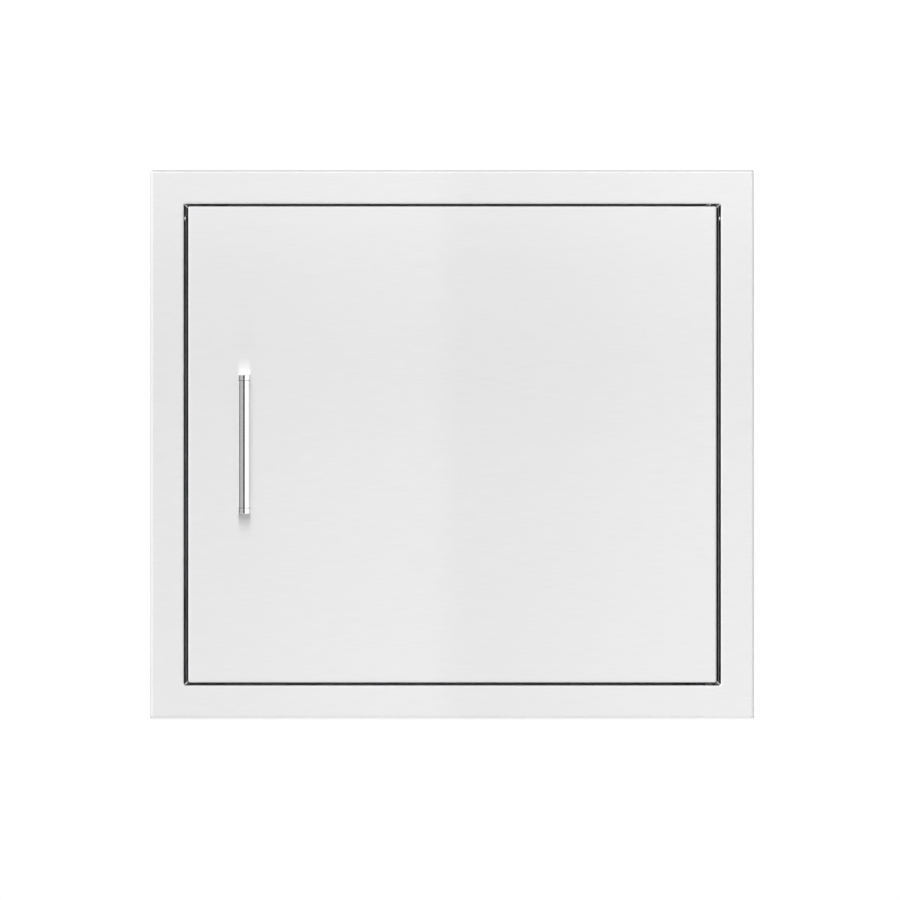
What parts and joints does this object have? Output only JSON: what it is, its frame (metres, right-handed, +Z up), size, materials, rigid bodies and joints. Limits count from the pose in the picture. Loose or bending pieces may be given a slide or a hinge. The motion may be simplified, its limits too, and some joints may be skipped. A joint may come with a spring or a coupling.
{
  "type": "access door",
  "caption": "Flush access door: stainless trim frame with a deep sleeve and stop, a double-walled door on pivot pins with a bar handle, a spring hinge pin and magnetic catches.",
  "frame": {"origin": "centre of the trim frame in the plane of the wall's face, which the trim's rear edge touches", "axes": "+X right and +Z up as seen from the front, +Y into the island"},
  "size_m": [0.6096, 0.1052, 0.554],
  "materials": {
    "frame_steel": "brushed along its length, fine grain",
    "door_steel": "brushed across its width, fine grain",
    "handle_steel": "satin polished",
    "plain_steel": "mill finish",
    "zinc_steel": "zinc plated",
    "bright_steel": "bright",
    "spring_steel": "drawn wire",
    "nylon": "moulded, natural",
    "dark_plastic": "moulded, fine texture",
    "magnet": "sintered ferrite",
    "rubber": "moulded"
  },
  "bodies": {
    "frame": {"face_frame": "frame_steel", "stop_left": "plain_steel", "stop_right": "plain_steel", "stop_head": "plain_steel", "stop_sill": "plain_steel", "corner_brackets": "zinc_steel", "jamb_screws": "bright_steel", "upper_frame_bush": "nylon", "lower_hinge_pin": "bright_steel", "thrust_washer": "nylon", "upper_catch_housing": "dark_plastic", "lower_catch_housing": "dark_plastic", "catch_magnets": "magnet", "catch_pole_plates": "zinc_steel", "catch_screws": "bright_steel", "bumpers": "rubber"},
    "door": {"door_skin": "door_steel", "door_liner": "plain_steel", "handle_stiffener": "zinc_steel", "handle_bar": "handle_steel", "handle_end_upper": "handle_steel", "handle_end_lower": "handle_steel", "handle_screws": "bright_steel", "handle_washers": "bright_steel", "strike_plates": "zinc_steel", "strike_rivets": "bright_steel", "lower_door_bush": "nylon", "upper_door_bush": "nylon", "lower_hinge_plate": "zinc_steel", "pin_guide": "zinc_steel", "pin_spring": "spring_steel"},
    "spring_pin": {"upper_hinge_pin": "bright_steel", "pin_lever": "zinc_steel"}
  },
  "joints": [
    {"name": "door_swing", "type": "hinge", "parent": "frame", "child": "door", "pos_m": [0.2586, -0.005, 0], "axis": [0, 0, 1], "range_deg": [0, 110]},
    {"name": "spring_pin_slide", "type": "slide", "parent": "door", "child": "spring_pin", "axis": [0, 0, -1], "range_m": [0, 0.008], "stiffness_N_per_m": 800, "springref_m": -0.01, "deforming": ["pin_spring"]}
  ]
}
